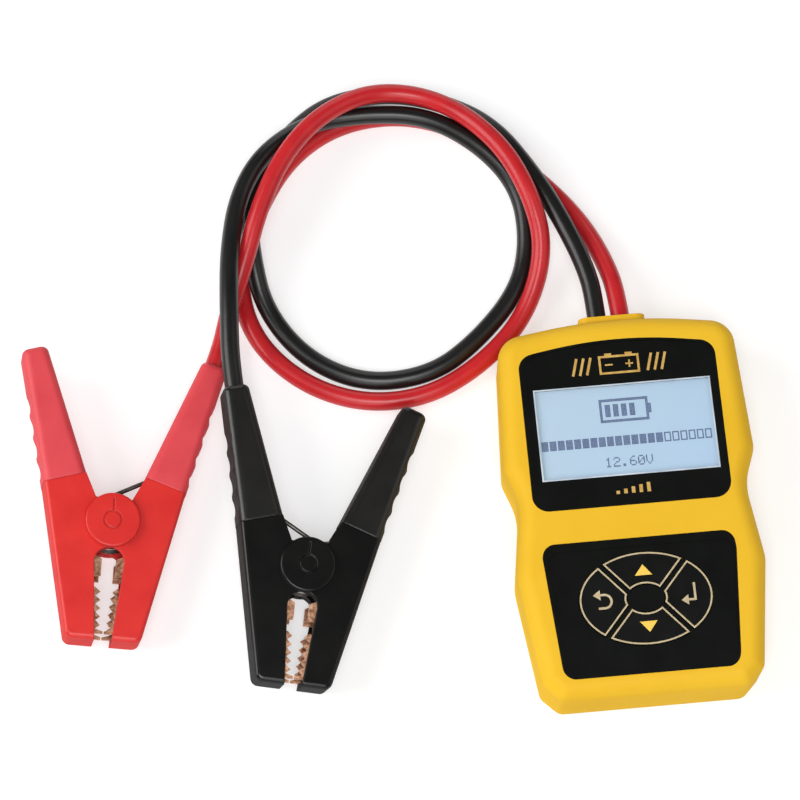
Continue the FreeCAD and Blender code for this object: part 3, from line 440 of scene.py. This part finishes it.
def key_outline(name, margin, width):
    """Line printed round the top of a key, read from the key's own flat top."""
    form = bmesh.new()
    form.from_mesh(nodes[name].data)
    top = max(vert.co.z for vert in form.verts)
    lower = [face for face in form.faces if min(vert.co.z for vert in face.verts) < top - flat_depth]
    bmesh.ops.delete(form, geom=lower, context="FACES")
    bmesh.ops.remove_doubles(form, verts=form.verts, dist=weld)
    bmesh.ops.dissolve_faces(form, faces=form.faces[:])
    outside = bmesh.ops.inset_individual(form, faces=form.faces[:], thickness=margin, use_even_offset=True)
    bmesh.ops.delete(form, geom=outside["faces"], context="FACES")
    middle = form.faces[:]
    bmesh.ops.inset_individual(form, faces=middle, thickness=width, use_even_offset=True)
    bmesh.ops.delete(form, geom=middle, context="FACES")
    faces = [[(vert.co.x, vert.co.y, vert.co.z + ink_lift) for vert in face.verts] for face in form.faces]
    form.free()
    sheet_of(name + "_outline", faces, pale_ink, name)


outline_margin = 0.1 * mm
outline_width = 0.5 * mm
for name in ("key_up", "key_enter", "key_down", "key_escape"):
    key_outline(name, outline_margin, outline_width)
sign_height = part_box("key_up")[1].z + ink_lift
ring_y = (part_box("key_down")[0].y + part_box("key_up")[1].y) / 2
# Screen-printed yellow ink of the arrows: warm and solid.
yellow_ink = finish("screen_printed_yellow_ink", "#EBC04A", "#F4CC5C", 1.2 * mm, 0.45, 0.3 * mm, 0.01 * mm)
arrow_out = 8.9 * mm
arrow_width = 5.4 * mm
arrow_length = 3.4 * mm
for name, sense in (("key_up", 1), ("key_down", -1)):
    base_y = ring_y + sense * (arrow_out - arrow_length / 2)
    tip_y = ring_y + sense * (arrow_out + arrow_length / 2)
    half_width = sense * arrow_width / 2
    arrow = [(-half_width, base_y, sign_height), (half_width, base_y, sign_height), (0, tip_y, sign_height)]
    sheet_of(name + "_arrow", [arrow], yellow_ink, name)
# Signs of the enter and escape keys: an arrow that turns a corner, and one that turns back.
side_x = 13.3 * mm
sign_width = 0.7 * mm
head_length = 2.2 * mm
head_reach = 1.6 * mm


def arrow_head(x, y):
    """Head of an arrow that points to the left, from the middle of its base."""
    return [(x - head_length, y, sign_height), (x, y - head_reach, sign_height),
            (x, y + head_reach, sign_height)]


corner_x = side_x + 1.7 * mm
enter_x = side_x - 0.4 * mm
enter_y = ring_y - 1.6 * mm
enter_line = [(corner_x, ring_y + 3.6 * mm), (corner_x, enter_y), (enter_x, enter_y)]
enter_faces = stroke(enter_line, sign_width, sign_height) + [arrow_head(enter_x, enter_y)]
sheet_of("key_enter_sign", enter_faces, pale_ink, "key_enter")
bow_radius = 2.1 * mm
bow_x = 0.6 * mm - side_x
escape_x = -side_x - 0.6 * mm
bow = [(-side_x - 1.4 * mm, ring_y - bow_radius)]
for angle in range(-90, 91, 15):
    turn = radians(angle)
    bow.append((bow_x + bow_radius * cos(turn), ring_y + bow_radius * sin(turn)))
bow.append((escape_x, ring_y + bow_radius))
escape_faces = stroke(bow, sign_width, sign_height) + [arrow_head(escape_x, ring_y + bow_radius)]
sheet_of("key_escape_sign", escape_faces, pale_ink, "key_escape")

# Clamp jaws: toothed copper strip, stamped and bent, held in the slot of each arm.
# Patchy, between bright copper and a browner tone.
jaw_copper = finish("stamped_copper", "#8F5638", "#F0BF9E", 1.2 * mm, 0.36, 0.5 * mm, 0.03 * mm, 1.0)
dress(jaw_copper, "red_cable_jaw", "red_free_jaw", "black_cable_jaw", "black_free_jaw")

# Clamp arms and pivot discs: moulded in glass-filled nylon, red for plus and black for minus.
# Satin, with a slightly mottled skin; the discs cap the pivot pin.
nylon_red = finish("moulded_nylon_red", "#CB2622", "#D62D28", 9 * mm, 0.34, 0.6 * mm, 0.03 * mm,
                   edge=0.5 * mm)
nylon_red.node_tree.nodes["Principled BSDF"].inputs["Specular IOR Level"].default_value = 0.4
dress(nylon_red, "red_cable_arm", "red_free_arm", "red_pivot_discs")
nylon_black = finish("moulded_nylon_black", "#0D0D0D", "#121211", 9 * mm, 0.2, 0.6 * mm, 0.03 * mm,
                     edge=0.5 * mm)
nylon_black.node_tree.nodes["Principled BSDF"].inputs["Specular IOR Level"].default_value = 0.32
dress(nylon_black, "black_cable_arm", "black_free_arm", "black_pivot_discs")

# Clamp sleeves: soft PVC pulled over the handles, with finger hollows on the outer edge.
# A little paler and duller than the arms.
vinyl_red = finish("dipped_vinyl_red", "#CF3B42", "#D9444B", 9 * mm, 0.5, 0.8 * mm, 0.05 * mm,
                   edge=0.8 * mm)
dress(vinyl_red, "red_cable_grip", "red_free_grip")
vinyl_black = finish("dipped_vinyl_black", "#11100F", "#171614", 9 * mm, 0.3, 0.8 * mm, 0.05 * mm,
                     edge=0.8 * mm)
dress(vinyl_black, "black_cable_grip", "black_free_grip")
for moulding in (nylon_red, nylon_black, vinyl_red, vinyl_black):
    matt_sides(moulding)

# Springs: torsion springs of oiled steel wire round the pivots, with a leg in each arm.
# One leg stays with the cable arm and the other follows the free arm.
wire_radius = 0.7 * mm
coil_radius = 8.0 * mm
coil_rise = 5.5 * mm
coil_turns = 3
coil_stations = 102
leg_length = 15.6 * mm
leg_stations = 10
cable_leg_angle = 28
free_leg_angle = 9
# Oiled steel wire: dark grey metal, uneven from the oil.
spring_steel = finish("oiled_spring_steel", "#54504C", "#6E6A66", 2 * mm, 0.36, 0.3 * mm, 0.01 * mm, 1.0)
hinges = {joint["name"]: joint for joint in frame["joints"]}


def wind_spring(colour, turn, pitch, roll, side):
    """A spring wound at the pivot of one clamp."""
    first = radians(90 + cable_leg_angle)
    sweep = radians(360 * coil_turns - cable_leg_angle - free_leg_angle)
    line = []
    for step in range(coil_stations + 1):
        share = step / coil_stations
        angle = first + sweep * share
        line.append(Vector((coil_radius * cos(angle), coil_radius * sin(angle), coil_rise * (0.5 - share))))
    start_way = Vector((sin(first), -cos(first), 0))
    end_way = Vector((-sin(first + sweep), cos(first + sweep), 0))
    begin, end = line[0], line[-1]
    for step in range(1, leg_stations + 1):
        line.insert(0, begin + start_way * (leg_length * step / leg_stations))
        line.append(end + end_way * (leg_length * step / leg_stations))
    curve = bpy.data.curves.new(colour + "_wire", "CURVE")
    curve.dimensions = "3D"
    curve.bevel_depth = wire_radius
    curve.bevel_resolution = 3
    curve.use_fill_caps = True
    spline = curve.splines.new("POLY")
    spline.points.add(len(line) - 1)
    for point, spot in zip(spline.points, line):
        point.co = (side * spot.x, spot.y, spot.z, 1)
    bent = bpy.data.objects.new(colour + "_line", curve)
    bpy.context.collection.objects.link(bent)
    bpy.context.view_layer.update()
    mesh = bpy.data.meshes.new_from_object(bent.evaluated_get(bpy.context.evaluated_depsgraph_get()))
    bpy.data.objects.remove(bent)
    pivot = Vector(hinges[colour + "_clamp_hinge"]["pos_m"])
    turned = Matrix.Rotation(radians(turn), 4, "Z") @ Matrix.Rotation(radians(pitch), 4, "X")
    turned = turned @ Matrix.Rotation(radians(roll), 4, "Y")
    mesh.transform(Matrix.Translation(pivot) @ turned)
    mesh.materials.append(spring_steel)
    for face in mesh.polygons:
        face.use_smooth = True
    piece = bpy.data.objects.new(colour + "_wire", mesh)
    bpy.context.collection.objects.link(piece)
    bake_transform(piece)
    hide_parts(colour + "_spring")


wind_spring("red", -8.25, 1.8, 9.5, 1)
wind_spring("black", -11.3, 4.0, 9.5, -1)

# Leads: stranded copper in thick, soft PVC jackets, red and black, laid in a loose double loop.
# They leave the collar side by side and end in the sleeves of the clamps.
# Their routes count from the collar's face, in mm.
lead_diameter = 6 * mm
collar_face = Vector((0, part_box("front_cover")[1].y, 0))
red_route = [
    (3.85, -15.6, 12), (3.85, 8, 12), (0.3, 25, 8), (-7, 42, 3), (-20.5, 58, 3), (-37, 71.8, 3),
    (-57, 80.7, 3), (-79, 79.7, 3), (-97, 69.3, 3), (-109.3, 51, 3), (-117, 30, 3), (-114.3, 9.5, 3),
    (-100.8, -7.2, 3), (-81.5, -16.6, 3), (-60.5, -16.6, 3), (-42, -7.6, 3), (-26, 7.4, 3.3),
    (-17.8, 27, 9.8), (-20.8, 45, 15.6), (-29.5, 64, 16.5), (-46, 81, 12.3), (-67, 86, 13.3),
    (-85, 78, 18), (-98.9, 64.2, 19.3), (-108, 47, 18), (-114, 30.5, 14), (-120.5, 15.5, 8.7),
    (-124.44, 1.99, 7.66), (-132.84, -15.61, 8.05),
]
black_route = [
    (-3.85, -15.6, 12), (-3.85, 8, 12), (-5.9, 20.5, 12), (-11.7, 37.3, 11), (-18.8, 52.8, 10.8),
    (-30.3, 71.7, 9.6), (-46.3, 83.4, 5), (-63, 88.8, 3), (-82.5, 87, 3), (-95.9, 76.6, 6),
    (-105.2, 64.2, 9), (-111.5, 50.5, 9.5), (-111.8, 35, 9.2), (-109.2, 17.5, 3.2), (-97.3, -0.3, 3),
    (-79, -10.3, 3), (-57.5, -9.1, 3), (-41.7, 1.3, 3), (-27.2, 16.9, 3), (-22.3, 33.3, 4),
    (-23.8, 51, 6.5), (-35, 65.5, 9.6), (-51.5, 77, 9.6), (-71.5, 79.5, 9.6), (-90, 77.5, 10.4),
    (-105.6, 66.3, 15.8), (-114.6, 52, 16), (-118.7, 32.5, 18.8), (-120, 13, 21.5),
    (-121.0, -8.41, 21.03), (-118.95, -27.67, 18.77),
]


def lay_lead(name, route, material):
    """A lead as one smooth line through its route."""
    curve = bpy.data.curves.new(name + "_jacket", "CURVE")
    curve.dimensions = "3D"
    curve.bevel_depth = lead_diameter / 2
    curve.bevel_resolution = 8
    curve.resolution_u = 14
    curve.use_fill_caps = True
    line = curve.splines.new("NURBS")
    line.points.add(len(route) - 1)
    for point, spot in zip(line.points, route):
        point.co = (collar_face + Vector(spot) * mm).to_4d()
    line.order_u = 3
    line.use_endpoint_u = True
    curve.materials.append(material)
    piece = bpy.data.objects.new(name + "_jacket", curve)
    bpy.context.collection.objects.link(piece)
    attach(piece, "tester")
    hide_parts(name)
    colour = name.split("_")[0]
    clamp = [node for node in sorted(nodes) if node.startswith(colour + "_")]
    clamp = [node for node in clamp if node not in (name, colour + "_spring")] + [colour + "_wire"]


# Extruded PVC: satin and smooth along its length, with a faint unevenness.
pvc_red = finish("extruded_pvc_red", "#B81F25", "#C6262B", 10 * mm, 0.3, 1.4 * mm, 0.05 * mm)
pvc_red.node_tree.nodes["Principled BSDF"].inputs["Specular IOR Level"].default_value = 0.38
lay_lead("red_lead", red_route, pvc_red)
pvc_black = finish("extruded_pvc_black", "#0F0F0F", "#151514", 10 * mm, 0.33, 1.4 * mm, 0.05 * mm)
lay_lead("black_lead", black_route, pvc_black)

# Studio: white paper on a light table, under large soft lights, the main one from the left.
# None stands where the flat black tops would mirror it.
# The camera looks down steeply, as a catalogue picture does.
floor_mesh = bpy.data.meshes.new("studio_floor")
reach = 3.0
floor_corners = [(-reach, -reach, 0), (reach, -reach, 0), (reach, reach, 0), (-reach, reach, 0)]
floor_mesh.from_pydata(floor_corners, [], [(0, 1, 2, 3)])
paper = finish("white_paper", "#BFBFBF", "#C4C4C4", 200 * mm, 0.9, 2 * mm, 0.02 * mm)
shader = paper.node_tree.nodes["Principled BSDF"]
shader.inputs["Emission Color"].default_value = (1, 1, 1, 1)
shader.inputs["Emission Strength"].default_value = 0.52
floor_mesh.materials.append(paper)
studio_floor = bpy.data.objects.new("studio_floor", floor_mesh)
studio_floor.location.z = -0.05 * mm
bpy.context.collection.objects.link(studio_floor)
world = bpy.data.worlds.new("studio")
world.use_nodes = True
world.node_tree.nodes["Background"].inputs["Color"].default_value = (1, 1, 1, 1)
world.node_tree.nodes["Background"].inputs["Strength"].default_value = 0.08
bpy.context.scene.world = world
target = Vector((-68.4 * mm, 45.45 * mm, 0))
light_distance = 1.4
camera_azimuth = -5.13
camera_elevation = 73


def towards(azimuth, elevation):
    """Direction from the object, azimuth counted from the front."""
    turn = radians(azimuth)
    rise = radians(elevation)
    return Vector((sin(turn) * cos(rise), -cos(turn) * cos(rise), sin(rise)))


studio_lights = (
    ("left", -95, 38, 1.0, 14),
    ("right", 85, 40, 1.0, 2.5),
    ("front", -5, 42, 1.0, 7),
    ("back", 175, 22, 0.8, 3),
    ("camera", -5, 70, 0.5, 8),
)
for name, azimuth, elevation, size, power in studio_lights:
    lamp = bpy.data.lights.new(name + "_light", "AREA")
    lamp.size = size
    lamp.energy = power
    stand = bpy.data.objects.new(name + "_light", lamp)
    stand.location = target + towards(azimuth, elevation) * light_distance
    stand.rotation_euler = (-towards(azimuth, elevation)).to_track_quat("-Z", "Y").to_euler()
    bpy.context.collection.objects.link(stand)
lens = bpy.data.cameras.new("camera")
lens.sensor_width = 36
lens.lens = 140.85
camera = bpy.data.objects.new("camera", lens)
sight = towards(camera_azimuth, camera_elevation)
camera.location = target + sight
camera.rotation_euler = (-sight).to_track_quat("-Z", "Y").to_euler()
bpy.context.collection.objects.link(camera)
bpy.context.scene.camera = camera
bpy.context.scene.view_settings.view_transform = "Standard"
